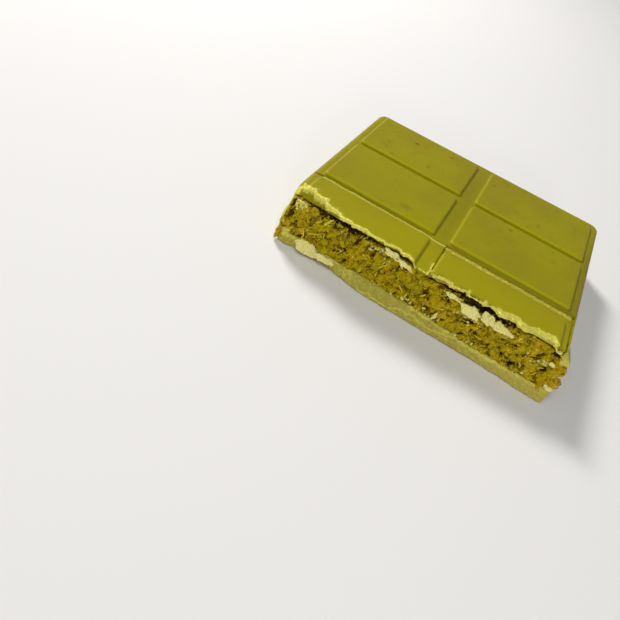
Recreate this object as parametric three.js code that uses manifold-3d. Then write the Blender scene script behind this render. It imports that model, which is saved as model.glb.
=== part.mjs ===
// Half of a filled chocolate bar, broken across its third row of squares and lying flat.
// Millimetres, +Z up, the broken end toward -Y. While it is built, y = 0 is the top edge of
// the unbroken end; the finished group is moved so that the origin is under the middle.
import * as THREE from 'three';
import { mergeVertices } from 'three/addons/utils/BufferGeometryUtils.js';
import Module from 'manifold-3d';

const wasm = await Module();
wasm.setup();

// Bar
const THICKNESS = 16.0;          // base to the top of the pads
const PAD_HEIGHT = 0.9;
const TABLE_Z = THICKNESS - PAD_HEIGHT;
const HALF_WIDTH = 39.0;         // at the table, where the grooves lie
const DRAFT = 1.9;               // each side widens by this down to the base
const CORNER = 2.8;              // radius of the unbroken corners in plan
const TOP_ROUND = 1.2;
const BASE_ROUND = 0.5;
const FRONT_Y = -65.9;           // the furthest reach of the broken end
const FAR_Y = DRAFT * (TABLE_Z - BASE_ROUND) / TABLE_Z;
const CENTRE_SHIFT = (FAR_Y + FRONT_Y) / -2;

// Pads: two columns, the rows counted from the unbroken end
const PAD_WIDTH = 33.7;
const PAD_LENGTH = 21.1;
const ROW_GROOVE = 2.7;
const SPINE = 5.0;               // between the two columns
const BORDER = 2.6;
const PAD_SLOPE = 0.3;           // a pad's foot is this much wider on each side
const ROW_PITCH = PAD_LENGTH + ROW_GROOVE;

// Shell and filling
const FLOOR_Z = 3.2;             // top of the bottom plate
const ROOF_Z = 13.6;             // underside of the top plate
const WALL_LEFT = 1.3;
const WALL_RIGHT = 2.6;
const WALL_FAR = 3.0;
const GAP = 0.3;                 // shell to filling

// Cracked third row
const CRACK_Y = -48.45;
const CRACK_WIDTH = 0.35;
const CRACK_FLOOR_Z = 14.2;
const SLAB_LEFT = 2.3;           // loose piece of the top plate right of the spine
const SLAB_RIGHT = 38.2;
const SLAB_BACK = -47.9;         // its rear edge before it slid toward the break
const SLAB_TILT = THREE.MathUtils.degToRad(-1.6);
const SLAB_DROP = 0.5;
const SLAB_SLIDE = -1.85;

const SEED = 11;

// Noise ---------------------------------------------------------------------------------

// A number from 0 to 1 for each lattice point, the same every time.
function hash(i, j, k, seed) {
  let h = Math.imul(i, 668265263) ^ Math.imul(j, 374761393);
  h ^= Math.imul(k, 1274126177) ^ Math.imul(seed, 2246822519);
  h = Math.imul(h ^ (h >>> 15), 739982445);
  h = Math.imul(h ^ (h >>> 12), 695872825);
  return ((h ^ (h >>> 15)) >>> 0) / 4294967296;
}

// Smooth value noise between -1 and 1.
function noise(x, y, z, seed) {
  const [i, j, k] = [Math.floor(x), Math.floor(y), Math.floor(z)];
  const fade = (t) => t * t * (3 - 2 * t);
  const [u, v, w] = [fade(x - i), fade(y - j), fade(z - k)];
  const mix = THREE.MathUtils.lerp;
  const row = (b, c) => mix(hash(i, j + b, k + c, seed), hash(i + 1, j + b, k + c, seed), u);
  return 2 * mix(mix(row(0, 0), row(1, 0), v), mix(row(0, 1), row(1, 1), v), w) - 1;
}

// A repeatable draw between two numbers.
let drawn = 0;
function draw(low, high) {
  drawn += 1;
  return THREE.MathUtils.lerp(low, high, hash(drawn, 7, 3, SEED));
}

// Eases from 0 at one value to 1 at the other, whichever of them is larger.
function step(from, to, x) {
  const t = THREE.MathUtils.clamp((x - from) / (to - from), 0, 1);
  return t * t * (3 - 2 * t);
}

function bump(x, centre, width) {
  return Math.exp(-(((x - centre) / width) ** 2));
}

// Broken end: y of the surface at (x, z) -------------------------------------------------

// Shell-like bites along the rim: each swells slowly and ends abruptly on its right.
function scallop(x) {
  const place = (x - 3.7 + step(2, -2, x)) / 4.5 + 0.12 * noise(0.2 * x, 4, 0, SEED);
  const along = place - Math.floor(place);
  return 0.75 * along * step(1.0, 0.86, along);
}

// Rim of the top plate: pulled back at the left corner and along the loose piece, and
// longest at the spine and at the right border.
function rimLine(x) {
  const corner = 4.2 * step(-22, -37, x);
  const spine = -2.0 * bump(x, 0.3, 2.6);
  const right = -0.3 * step(3, 6, x) + 2.2 * step(8, 36, x) - 2.9 * step(35.4, 36.4, x);
  const ragged = 0.25 * noise(0.5 * x, 0, 0, SEED) + 0.15 * noise(1.4 * x, 9, 0, SEED);
  return -61.9 + corner + spine + right + scallop(x) + ragged;
}

// Where the broken face of the top plate meets its underside.
function underLine(x) {
  const spine = -2.9 * bump(x, 0.5, 3.5);
  const right = -0.4 * step(6, 12, x) - 1.2 * step(25.5, 27.5, x);
  return -59.6 + spine + right + 0.2 * noise(0.6 * x, 7, 0, SEED);
}

function topPlate(x, z) {
  const depth = THREE.MathUtils.clamp((THICKNESS - z) / (THICKNESS - ROOF_Z), 0, 1.2);
  const face = THREE.MathUtils.lerp(rimLine(x), underLine(x), depth ** 1.5);
  return face + 0.12 * noise(0.9 * x, 0, 0.9 * z, SEED + 1);
}

// Height of the wavy line that crosses the broken face of the bottom plate.
function ledgeLine(x) {
  const rise = 1.5 * step(-12, 14, x) + 0.8 * step(12, 17, x);
  return 0.6 + rise + 0.25 * noise(0.35 * x, 8, 0, SEED);
}

function footLine(x) {
  const left = 2.9 * step(-8, -28, x) - 1.1 * step(-30, -37, x);
  return -65.1 + left - 0.7 * step(24, 38, x) + 0.12 * noise(0.4 * x, 2, 0, SEED);
}

// Bottom plate: a steep face below the wavy line, and above it a ledge that leans back.
function bottomPlate(x, z) {
  const foot = footLine(x);
  const lip = -62.6 - 0.4 * step(-10, 0, x) - 1.6 * step(6, 20, x) + 0.2 * noise(0.7 * x, 5, 0, SEED);
  const line = Math.min(ledgeLine(x), FLOOR_Z - 0.3);
  const back = THREE.MathUtils.clamp((z - line) / (FLOOR_Z - line), 0, 1);
  return THREE.MathUtils.lerp(foot, Math.max(lip, foot), Math.sqrt(back));
}

// Side walls between the two plates.
function sideWall(x, z) {
  const left = THREE.MathUtils.lerp(-62.0, rimLine(x), step(8.5, 14.5, z));
  const right = -62.3 - 0.12 * (ROOF_Z - z);
  const ragged = 0.25 * noise(0, 0.6 * z, x > 0 ? 3 : 6, SEED);
  return (x < 0 ? left : right) + ragged;
}

function shellBreak(x, z) {
  const upper = step(ROOF_Z - 0.6, ROOF_Z, z);
  const lower = step(FLOOR_Z + 1.2, FLOOR_Z, z);
  const wall = sideWall(x, z);
  const y = wall + upper * (topPlate(x, z) - wall) + lower * (bottomPlate(x, z) - wall);
  return Math.max(y, FRONT_Y);
}

// The filling is a coarse, crumbly face that leans back toward the top.
function fillingBreak(x, z) {
  const top = -60.2 - 1.4 * step(-12, 8, x);
  const foot = -62.0 - 1.9 * step(-8, 26, x);
  const rise = THREE.MathUtils.clamp((z - FLOOR_Z) / (ROOF_Z - FLOOR_Z), 0, 1);
  const lumps = 0.55 * noise(0.45 * x, 0, 0.55 * z, SEED + 2) + 0.4 * noise(1.1 * x, 3, 1.2 * z, SEED + 3);
  return THREE.MathUtils.lerp(foot, top, rise) + lumps;
}

// Solids --------------------------------------------------------------------------------

// A closed three.js geometry as a solid that can be cut and joined.
function solid(geometry) {
  geometry.deleteAttribute('normal');
  geometry.deleteAttribute('uv');
  const merged = mergeVertices(geometry, 1e-4);
  const index = merged.index.array;
  const kept = [];
  for (let t = 0; t < index.length; t += 3) {
    const [a, b, c] = [index[t], index[t + 1], index[t + 2]];
    if (a !== b && b !== c && c !== a) kept.push(a, b, c);
  }
  return new wasm.Manifold(new wasm.Mesh({
    numProp: 3,
    vertProperties: Float32Array.from(merged.attributes.position.array),
    triVerts: Uint32Array.from(kept),
  }));
}

// Moves every vertex of a geometry by a rule.
function reshape(geometry, rule) {
  const position = geometry.attributes.position;
  const p = new THREE.Vector3();
  for (let i = 0; i < position.count; i += 1) {
    p.fromBufferAttribute(position, i);
    rule(p);
    position.setXYZ(i, p.x, p.y, p.z);
  }
  return geometry;
}

function box(x0, x1, y0, y1, z0, z1) {
  const geometry = new THREE.BoxGeometry(x1 - x0, y1 - y0, z1 - z0);
  return geometry.translate((x0 + x1) / 2, (y0 + y1) / 2, (z0 + z1) / 2);
}

// Rectangle in plan whose far corners (+Y) are rounded.
function planShape(x0, x1, y0, y1, farRadius, nearRadius) {
  const shape = new THREE.Shape();
  shape.moveTo(x0 + nearRadius, y0);
  shape.lineTo(x1 - nearRadius, y0);
  if (nearRadius > 0) shape.absarc(x1 - nearRadius, y0 + nearRadius, nearRadius, -Math.PI / 2, 0, false);
  shape.lineTo(x1, y1 - farRadius);
  shape.absarc(x1 - farRadius, y1 - farRadius, farRadius, 0, Math.PI / 2, false);
  shape.lineTo(x0 + farRadius, y1);
  shape.absarc(x0 + farRadius, y1 - farRadius, farRadius, Math.PI / 2, Math.PI, false);
  shape.lineTo(x0, y0 + nearRadius);
  if (nearRadius > 0) shape.absarc(x0 + nearRadius, y0 + nearRadius, nearRadius, Math.PI, 1.5 * Math.PI, false);
  return shape;
}

// Moves a point of the sides outward as the mould widens toward the base.
function widen(p) {
  const grow = DRAFT * (TABLE_Z - p.z) / TABLE_Z;
  p.x *= 1 + grow / HALF_WIDTH;
  if (p.y > -10) p.y += grow;
}

function barBody() {
  const shape = planShape(-HALF_WIDTH, HALF_WIDTH, FRONT_Y - 8, 0, CORNER, 0);
  const geometry = new THREE.ExtrudeGeometry(shape, {
    depth: TABLE_Z - 2 * TOP_ROUND,
    curveSegments: 6,
    bevelThickness: TOP_ROUND,
    bevelSize: TOP_ROUND,
    bevelOffset: -TOP_ROUND,
    bevelSegments: 4,
  });
  geometry.translate(0, 0, TOP_ROUND);
  const tighter = BASE_ROUND / TOP_ROUND;
  reshape(geometry, (p) => {
    if (p.z < TOP_ROUND + 0.01) {
      const edge = 1 - tighter;
      const inset = insetAt(p.z);
      p.x += Math.sign(p.x) * inset * edge;
      if (p.y > -10) p.y += inset * edge;
      p.z *= tighter;
    }
    widen(p);
  });
  return solid(geometry);
}

// How far the rounded edge has drawn in at height z above the base.
function insetAt(z) {
  const t = 1 - z / TOP_ROUND;
  return TOP_ROUND * (1 - Math.sqrt(Math.max(0, 1 - t * t)));
}

// One pad with softened edges, its foot sunk a little into what it stands on.
function pad(x0, y1) {
  const soft = 0.4;
  const sink = 0.5;
  const shape = planShape(x0, x0 + PAD_WIDTH, y1 - PAD_LENGTH, y1, 0.8, 0.8);
  const geometry = new THREE.ExtrudeGeometry(shape, {
    depth: PAD_HEIGHT + sink - 2 * soft,
    curveSegments: 3,
    bevelThickness: soft,
    bevelSize: soft,
    bevelOffset: -soft,
    bevelSegments: 2,
  });
  geometry.translate(0, 0, TABLE_Z - sink + soft);
  const middle = { x: x0 + PAD_WIDTH / 2, y: y1 - PAD_LENGTH / 2 };
  return reshape(geometry, (p) => {
    const spread = PAD_SLOPE * THREE.MathUtils.clamp((THICKNESS - p.z) / PAD_HEIGHT, 0, 1);
    p.x += spread * Math.sign(p.x - middle.x);
    p.y += spread * Math.sign(p.y - middle.y);
  });
}

function cavity(inset) {
  const x0 = -HALF_WIDTH + WALL_LEFT + inset;
  const x1 = HALF_WIDTH - WALL_RIGHT - inset;
  const z0 = FLOOR_Z + inset;
  const z1 = ROOF_Z - inset;
  const shape = planShape(x0, x1, FRONT_Y - 8, -WALL_FAR - inset, CORNER, 0);
  const geometry = new THREE.ExtrudeGeometry(shape, { depth: z1 - z0, curveSegments: 4, bevelEnabled: false });
  geometry.translate(0, 0, z0);
  return solid(reshape(geometry, widen));
}

// Everything in front of a broken surface y = rule(x, z), as a block with a relief face.
function inFront(rule, columns, levels) {
  const wide = 2 * (HALF_WIDTH + DRAFT) + 4;
  const geometry = new THREE.BoxGeometry(wide, 30, 20, columns, 1, levels);
  geometry.translate(0, 15, 8.5);
  return solid(reshape(geometry, (p) => {
    p.y = p.y > 15 ? rule(p.x, p.z) : -90;
  }));
}

// A lump with a rough skin.
function lump(x, y, z, rx, ry, rz, rough, detail) {
  const geometry = new THREE.IcosahedronGeometry(1, detail);
  return solid(reshape(geometry, (p) => {
    const swell = 1 + rough * noise(2.3 * p.x + x, 2.3 * p.y + y, 2.3 * p.z + z, SEED + 4);
    p.set(x + rx * swell * p.x, y + ry * swell * p.y, z + rz * swell * p.z);
  }));
}

// A thin chip of chocolate with a ragged outline, tilted as it lies.
function flake(x, y, z, length, width, thick, lean, turn) {
  const shape = new THREE.Shape();
  const corners = 9;
  for (let i = 0; i < corners; i += 1) {
    const angle = (2 * Math.PI * i) / corners;
    const reach = draw(0.78, 1.1);
    const px = 0.5 * length * reach * Math.cos(angle);
    const py = 0.5 * width * reach * Math.sin(angle);
    if (i === 0) shape.moveTo(px, py);
    else shape.lineTo(px, py);
  }
  const geometry = new THREE.ExtrudeGeometry(shape, {
    depth: thick * 0.6,
    bevelThickness: thick * 0.2,
    bevelSize: thick * 0.2,
    bevelSegments: 1,
  });
  geometry.translate(0, 0, -thick * 0.3);
  geometry.rotateX(lean);
  geometry.rotateY(turn);
  geometry.translate(x, y, z);
  return solid(geometry);
}

// One short strand of shredded pastry, bent in the middle.
function strand(x, y, z, length, radius, heading, rise) {
  const geometry = new THREE.CylinderGeometry(radius, radius * 0.9, length, 5, 2);
  const bend = draw(-0.18, 0.18) * length;
  reshape(geometry, (p) => {
    p.x += bend * (1 - (2 * p.y / length) ** 2);
  });
  geometry.rotateX(rise);
  geometry.rotateY(heading);
  geometry.translate(x, y, z);
  return solid(geometry);
}

function joined(solids) {
  return solids.reduce((a, b) => a.add(b));
}

// The crack between the second and third row, a narrow slot with a wandering course that
// jumps back across the spine.
function crackSlot(x0, x1) {
  const length = x1 - x0;
  const geometry = new THREE.BoxGeometry(length, CRACK_WIDTH, 4, Math.round(length / 2.5), 1, 1);
  geometry.translate((x0 + x1) / 2, CRACK_Y, CRACK_FLOOR_Z + 2);
  return solid(reshape(geometry, (p) => {
    p.y += 0.2 * noise(0.45 * p.x, 1, 0, SEED + 5) - 0.7 * step(-5, -1, p.x);
  }));
}

// Loose piece of the top plate in the third row: its table with one pad, tipped and slid.
function slab() {
  const pieces = [
    box(SLAB_LEFT, SLAB_RIGHT, FRONT_Y - 8, SLAB_BACK, ROOF_Z, TABLE_Z),
    pad(SPINE / 2, -BORDER - 2 * ROW_PITCH),
  ];
  const turn = new THREE.Matrix4().makeRotationX(SLAB_TILT);
  turn.premultiply(new THREE.Matrix4().makeTranslation(0, SLAB_BACK + SLAB_SLIDE, TABLE_Z - SLAB_DROP));
  turn.multiply(new THREE.Matrix4().makeTranslation(0, -SLAB_BACK, -TABLE_Z));
  return joined(pieces.map((piece) => solid(piece.applyMatrix4(turn))));
}

// The largest body of a solid, without loose scraps.
function largest(body) {
  const bodies = body.decompose();
  return bodies.reduce((a, b) => (a.volume() > b.volume() ? a : b));
}

function chocolateShell() {
  let body = barBody();
  for (let row = 0; row < 3; row += 1) {
    const y1 = -BORDER - row * ROW_PITCH;
    body = body.add(solid(pad(-SPINE / 2 - PAD_WIDTH, y1)));
    if (row < 2) body = body.add(solid(pad(SPINE / 2, y1)));
  }
  const seat = box(SLAB_LEFT - 0.3, SLAB_RIGHT + 0.3, FRONT_Y - 8, CRACK_Y + 0.1, CRACK_FLOOR_Z, 20);
  body = body.subtract(solid(seat));
  body = body.subtract(crackSlot(-HALF_WIDTH - 2, SLAB_LEFT));
  body = body.add(slab());
  body = body.subtract(cavity(0));
  body = body.subtract(inFront(shellBreak, 84, 22));
  // Slot under the right end of the top plate, where the wall has come away from it.
  body = body.subtract(solid(box(35.0, SLAB_RIGHT + 0.3, -70, -58.6, 12.0, 12.9)));
  body = body.subtract(solid(box(SLAB_RIGHT, SLAB_RIGHT + 0.3, -70, -58.0, 12.0, 16)));
  // Chips out of the lower left corner and out of the right wall.
  body = body.subtract(leftChip(0));
  body = body.subtract(rightChip(0));
  // Pale chips of chocolate on the edges of the break.
  body = body.add(lump(-37.0, -57.6, 14.9, 1.2, 0.9, 0.6, 0.3, 1));
  body = body.add(lump(-34.6, -58.4, 15.3, 1.2, 0.7, 0.5, 0.3, 1));
  const ledges = joined([
    flake(-28.9, -63.0, 2.1, 6.0, 2.9, 1.0, Math.PI / 2 - 0.25, 0.05),
    flake(-23.4, -62.9, 2.5, 5.6, 1.5, 0.9, Math.PI / 2 - 0.25, -0.05),
  ]);
  body = body.add(ledges.intersect(solid(box(-40, 0, -70, -50, 0, FLOOR_Z - 0.05))));
  return largest(body);
}

function leftChip(inset) {
  return lump(-41.9, -64.0, -0.5, 5.7 - inset, 5.0 - inset, 9.0 - inset, 0.05, 2);
}

function rightChip(inset) {
  return lump(40.8, -63.5, 7.0, 4.8 - inset, 6.3 - inset, 3.7 - inset, 0.06, 2);
}

// Strands lying on the broken face, evenly spread over it.
function strands(count) {
  const made = [];
  for (let i = 0; i < count; i += 1) {
    const x = -36 + (72 * (i + draw(0.1, 0.9))) / count;
    const z = 4.6 + 6.9 * ((i * 0.618) % 1);
    const radius = draw(0.32, 0.5);
    const heading = draw(0, Math.PI);
    const y = fillingBreak(x, z) - 0.1;
    made.push(strand(x, y, z, draw(3.0, 6.0), radius, heading, Math.PI / 2 + draw(-0.2, 0.2)));
  }
  return made;
}

function filling() {
  let body = cavity(GAP).subtract(inFront(fillingBreak, 80, 20));
  // Hollows where the filling has sunk away from the top plate.
  body = body.subtract(lump(18.5, -62.2, 13.4, 9.5, 4.4, 2.0, 0.12, 2));
  body = body.subtract(lump(-29.5, -60.6, 13.5, 6.5, 3.0, 1.2, 0.12, 2));
  const loose = strands(46);
  // Pale flakes of chocolate fallen on the filling.
  loose.push(flake(15.0, -62.7, 11.0, 4.8, 2.8, 0.8, Math.PI / 2 - 0.5, 0.1));
  loose.push(flake(22.3, -62.3, 11.5, 8.0, 2.2, 0.9, Math.PI / 2 - 0.4, 0.05));
  loose.push(flake(-6.0, -61.2, 12.6, 8.4, 1.8, 0.8, Math.PI / 2 - 0.7, 0.18));
  loose.push(flake(9.4, -62.3, 12.3, 4.2, 1.0, 0.7, Math.PI / 2 - 0.4, 0.1));
  loose.push(flake(-35.0, -60.7, 12.6, 2.4, 2.0, 0.8, Math.PI / 2 - 0.4, 0.4));
  loose.push(flake(8.4, -63.3, 5.2, 0.8, 2.4, 0.6, Math.PI / 2, 0.1));
  const inside = box(-37.2, 36.2, FRONT_Y + 0.2, -50, FLOOR_Z + GAP, ROOF_Z - GAP);
  body = body.add(joined(loose).intersect(solid(inside)));
  // Crumbs of filling in the chipped walls.
  const left = joined([
    lump(-38.0, -62.2, 4.2, 1.5, 1.4, 1.6, 0.3, 1),
    lump(-38.9, -62.9, 2.6, 1.2, 1.2, 1.3, 0.3, 1),
  ]).intersect(leftChip(0.4));
  const right = joined([
    lump(37.6, -61.6, 8.3, 2.3, 2.0, 2.1, 0.25, 1),
    lump(37.8, -62.6, 5.6, 2.0, 1.8, 1.6, 0.25, 1),
  ]).intersect(rightChip(0.4));
  return largest(body.add(left).add(right));
}

// Scene ---------------------------------------------------------------------------------

function mesh(name, body, material) {
  const { vertProperties, triVerts } = body.getMesh();
  const geometry = new THREE.BufferGeometry();
  geometry.setAttribute('position', new THREE.BufferAttribute(vertProperties, 3));
  geometry.setIndex(new THREE.BufferAttribute(triVerts, 1));
  geometry.computeVertexNormals();
  const made = new THREE.Mesh(geometry, material);
  made.name = name;
  return made;
}

const bar = new THREE.Group();
bar.position.set(0, CENTRE_SHIFT, 0);
bar.add(mesh('chocolate_shell', chocolateShell(), new THREE.MeshStandardMaterial({
  color: 0x968c1e, roughness: 0.45, metalness: 0,
})));
bar.add(mesh('filling', filling(), new THREE.MeshStandardMaterial({
  color: 0x82640f, roughness: 0.6, metalness: 0,
})));

export default bar;
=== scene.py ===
# Half of a filled chocolate bar, broken across its third row of squares and lying flat.
# Shapes are worked out in millimetres as distance fields in the bar's own frame, where y = 0 is
# the top edge of the unbroken end, and go into Blender in metres in the frame's coordinates.
import itertools
import math

import bmesh
import bpy
import numpy as np
from mathutils import Matrix, Vector


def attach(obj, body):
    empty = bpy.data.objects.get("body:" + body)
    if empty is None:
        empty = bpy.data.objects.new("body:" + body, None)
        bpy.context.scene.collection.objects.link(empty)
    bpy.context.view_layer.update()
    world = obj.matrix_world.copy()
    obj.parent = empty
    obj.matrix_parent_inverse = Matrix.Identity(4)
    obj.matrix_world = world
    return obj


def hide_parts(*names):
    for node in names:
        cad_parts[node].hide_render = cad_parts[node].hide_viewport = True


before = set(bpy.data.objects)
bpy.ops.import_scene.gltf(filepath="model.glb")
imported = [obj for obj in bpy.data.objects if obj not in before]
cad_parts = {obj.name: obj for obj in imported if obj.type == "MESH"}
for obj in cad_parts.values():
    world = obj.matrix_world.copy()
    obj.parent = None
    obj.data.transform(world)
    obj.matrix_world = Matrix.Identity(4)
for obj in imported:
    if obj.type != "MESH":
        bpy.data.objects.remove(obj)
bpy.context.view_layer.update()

# Bar, as in the solids
THICKNESS = 16.0
PAD_HEIGHT = 0.9
TABLE_Z = THICKNESS - PAD_HEIGHT
HALF_WIDTH = 39.0
DRAFT = 1.9
CORNER = 2.8
TOP_ROUND = 1.2
BASE_ROUND = 0.5
FRONT_Y = -65.9
FAR_Y = DRAFT * (TABLE_Z - BASE_ROUND) / TABLE_Z
CENTRE_SHIFT = (FAR_Y + FRONT_Y) / -2

# Pads
PAD_WIDTH = 33.7
PAD_LENGTH = 21.1
ROW_GROOVE = 2.7
SPINE = 5.0
BORDER = 2.6
PAD_SLOPE = 0.3
PAD_ROUND = 0.45
PAD_CORNER = 0.8
ROWS = 3
ROW_PITCH = PAD_LENGTH + ROW_GROOVE
COLUMNS = (-SPINE / 2 - PAD_WIDTH, SPINE / 2)

# Shell and filling
FLOOR_Z = 3.2
ROOF_Z = 13.6
WALL_LEFT = 1.3
WALL_RIGHT = 2.6
WALL_FAR = 3.0

# Cracked third row
CRACK_Y = -48.45
CRACK_WIDTH = 0.35
CRACK_FLOOR_Z = 14.2
SLAB_LEFT = 2.3
SLAB_RIGHT = 38.2
SLAB_BACK = -47.9
SLAB_TILT = math.radians(-1.6)
SLAB_DROP = 0.5
SLAB_SLIDE = -1.85
SLAB_ROW = 2

# Bites along the broken rim
SCALLOP_START = 3.7
SCALLOP_PITCH = 4.5

# Most triangles that the two large meshes keep
SHELL_TRIANGLES = 198000
CORE_TRIANGLES = 195000

# Grid spacing of the flakes
FLAKE_SPACING = 0.13

SEED = 11

# Camera: place and directions in the bar's frame (mm), solved from the pad grid in the photo
CAMERA_PLACE = (2.49, -164.516, 94.077)
CAMERA_RIGHT = (0.84099, 0.48025, 0.24920)
CAMERA_UP = (-0.51649, 0.57539, 0.63416)
CAMERA_LENS = 30.01

# The eight corners of a grid cell
CORNERS = list(itertools.product((0, 1), repeat=3))


# Noise -------------------------------------
def hashed(i, j, k, seed):
    """A number from 0 to 1 for each lattice point, the same as in the solids."""
    mask = 0xFFFFFFFF
    h = ((i * 668265263) & mask) ^ ((j * 374761393) & mask)
    h = h ^ ((k * 1274126177) & mask) ^ ((seed * 2246822519) & mask)
    h = ((h ^ (h >> 15)) * 739982445) & mask
    h = ((h ^ (h >> 12)) * 695872825) & mask
    return (h ^ (h >> 15)) / 4294967296.0


def noise(x, y, z, seed):
    """Smooth value noise between -1 and 1."""
    x, y, z = np.broadcast_arrays(x, y, z)
    i, j, k = (np.floor(c).astype(np.int64) for c in (x, y, z))
    u, v, w = (c - n for c, n in ((x, i), (y, j), (z, k)))
    u, v, w = (t * t * (3 - 2 * t) for t in (u, v, w))
    total = 0.0
    for a, b, c in CORNERS:
        weight = (u if a else 1 - u) * (v if b else 1 - v) * (w if c else 1 - w)
        total = total + weight * hashed(i + a, j + b, k + c, seed)
    return 2 * total - 1


def lumps(x, y, z, size, seed):
    """Squared distance to the nearest of scattered points: low in lumps, high between them."""
    x, y, z = np.broadcast_arrays(x / size, y / size, z / size)
    i, j, k = (np.floor(c).astype(np.int64) for c in (x, y, z))
    nearest = np.full(x.shape, 9.0)
    for a, b, c in itertools.product((-1, 0, 1), repeat=3):
        cell = (i + a, j + b, k + c)
        away = 0.0
        for number, (place, corner) in enumerate(zip((x, y, z), cell)):
            away = away + (place - corner - hashed(*cell, seed + number)) ** 2
        nearest = np.minimum(nearest, away)
    return nearest


def step(start, end, x):
    """Goes smoothly from 0 at start to 1 at end."""
    t = np.clip((x - start) / (end - start), 0, 1)
    return t * t * (3 - 2 * t)


def bump(x, centre, width):
    """A smooth hill of height 1."""
    return np.exp(-(((x - centre) / width) ** 2))


# Broken end: y of the surface at (x, z) -----
def scallop(x):
    """Shell-like bites along the rim: each swells slowly and ends abruptly on its right."""
    place = (x - SCALLOP_START + step(2, -2, x)) / SCALLOP_PITCH
    place = place + 0.12 * noise(0.2 * x, 4, 0, SEED)
    along = place - np.floor(place)
    return 0.75 * along * step(1.0, 0.86, along)


def rim_line(x):
    """Rim of the top plate: pulled back at the left corner, longest at spine and right border."""
    corner = 4.2 * step(-22, -37, x)
    spine = -1.8 * bump(x, 0.8, 2.6) - 0.8 * bump(x, -2.7, 1.4)
    right = 0.4 * step(21, 22.5, x) - 0.5 * bump(x, 27.5, 1.8) + 0.6 * step(29, 31, x)
    right = right - 0.3 * step(3, 6, x) - 1.7 * step(34.8, 37.2, x)
    ragged = 0.25 * noise(0.5 * x, 0, 0, SEED) + 0.15 * noise(1.4 * x, 9, 0, SEED)
    return -61.9 + corner + spine + right + scallop(x) + ragged


def under_line(x):
    """Where the broken face of the top plate meets its underside."""
    spine = -2.7 * bump(x, 0.8, 3.5)
    strip = -1.4 * step(2.5, 5, x) * step(12, 9.5, x)
    right = -0.4 * step(6, 12, x) - 1.2 * step(25.5, 27.5, x)
    return -59.6 + spine + strip + right + 0.2 * noise(0.6 * x, 7, 0, SEED)


def top_plate(x, z):
    """Broken face of the top plate, from its rim down to its underside."""
    depth = np.clip((THICKNESS - z) / (THICKNESS - ROOF_Z), 0, 1.2)
    rim = rim_line(x)
    return rim + (under_line(x) - rim) * depth ** 1.5 + 0.12 * noise(0.9 * x, 0, 0.9 * z, SEED + 1)


def ledge_line(x):
    """Height of the wavy line that crosses the bottom plate's broken face."""
    rise = 1.5 * step(-12, 14, x) + 0.8 * step(12, 17, x)
    return 0.6 + rise + 0.25 * noise(0.35 * x, 8, 0, SEED)


def foot_line(x):
    """Where the bottom plate's broken face meets the floor."""
    left = 2.9 * step(-8, -28, x) - 1.1 * step(-30, -37, x)
    return -65.1 + left - 0.7 * step(24, 38, x) + 0.12 * noise(0.4 * x, 2, 0, SEED)


def bottom_plate(x, z):
    """Broken face of the bottom plate: upright below the wavy line, drawn back above it."""
    foot = foot_line(x)
    lip = -62.6 - 0.4 * step(-10, 0, x) - 1.6 * step(6, 20, x) + 0.2 * noise(0.7 * x, 5, 0, SEED)
    lip = np.maximum(lip, foot)
    line = np.minimum(ledge_line(x), FLOOR_Z - 0.3)
    back = np.clip((z - line) / (FLOOR_Z - line), 0, 1)
    return foot + (lip - foot) * np.sqrt(back)


def side_wall(x, z):
    """Broken ends of the left and right walls."""
    left = -62.0 + (rim_line(x) + 62.0) * step(8.5, 14.5, z)
    right = -62.3 - 0.12 * (ROOF_Z - z)
    ragged = 0.25 * noise(0, 0.6 * z, np.where(x > 0, 3, 6), SEED)
    return np.where(x < 0, left, right) + ragged


def shell_break(x, z):
    """Broken end of the whole shell: walls, with the two plates above and below."""
    upper = step(ROOF_Z - 0.6, ROOF_Z, z)
    lower = step(FLOOR_Z + 1.2, FLOOR_Z, z)
    wall = side_wall(x, z)
    y = wall + upper * (top_plate(x, z) - wall) + lower * (bottom_plate(x, z) - wall)
    return np.maximum(y, FRONT_Y)


def filling_break(x, z):
    """Broken face of the filling, before its relief."""
    top = -60.2 - 1.4 * step(-12, 8, x)
    foot = -62.0 - 1.9 * step(-8, 26, x)
    rise = np.clip((z - FLOOR_Z) / (ROOF_Z - FLOOR_Z), 0, 1)
    uneven = 0.55 * noise(0.45 * x, 0, 0.55 * z, SEED + 2)
    return foot + (top - foot) * rise + uneven


# Distance fields ---------------------------
def grid_lines(stops):
    """Grid lines from (position, spacing) stops: each spacing holds up to the next position."""
    lines = [stops[0][0]]
    for (start, spacing), (end, _) in zip(stops, stops[1:]):
        count = max(1, round((end - start) / spacing))
        lines.extend(start + (end - start) * (n + 1) / count for n in range(count))
    return np.array(lines)


def union(a, b, soft=0.0):
    """Joins two forms, with a fillet about as wide as soft."""
    if soft <= 0:
        return np.minimum(a, b)
    h = np.clip(0.5 + 0.5 * (b - a) / soft, 0, 1)
    return b + (a - b) * h - soft * h * (1 - h)


def cut(a, b, soft=0.0):
    """Takes form b out of form a."""
    return -union(-a, b, soft)


def rounded(flat, level, radius):
    """An extrusion with rounded edges, from its distances in plan and in height."""
    a = flat + radius
    b = level + radius
    outside = np.sqrt(np.maximum(a, 0) ** 2 + np.maximum(b, 0) ** 2)
    return np.minimum(np.maximum(a, b), 0) + outside - radius


def plan_rect(x, y, x0, x1, y0, y1, far_radius, near_radius):
    """Distance in plan to a rectangle whose far and near corners have their own radius."""
    cx, cy = (x0 + x1) / 2, (y0 + y1) / 2
    radius = np.where(y > cy, far_radius, near_radius)
    a = np.abs(x - cx) - (x1 - x0) / 2 + radius
    b = np.abs(y - cy) - (y1 - y0) / 2 + radius
    return np.minimum(np.maximum(a, b), 0) + np.hypot(np.maximum(a, 0), np.maximum(b, 0)) - radius


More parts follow.
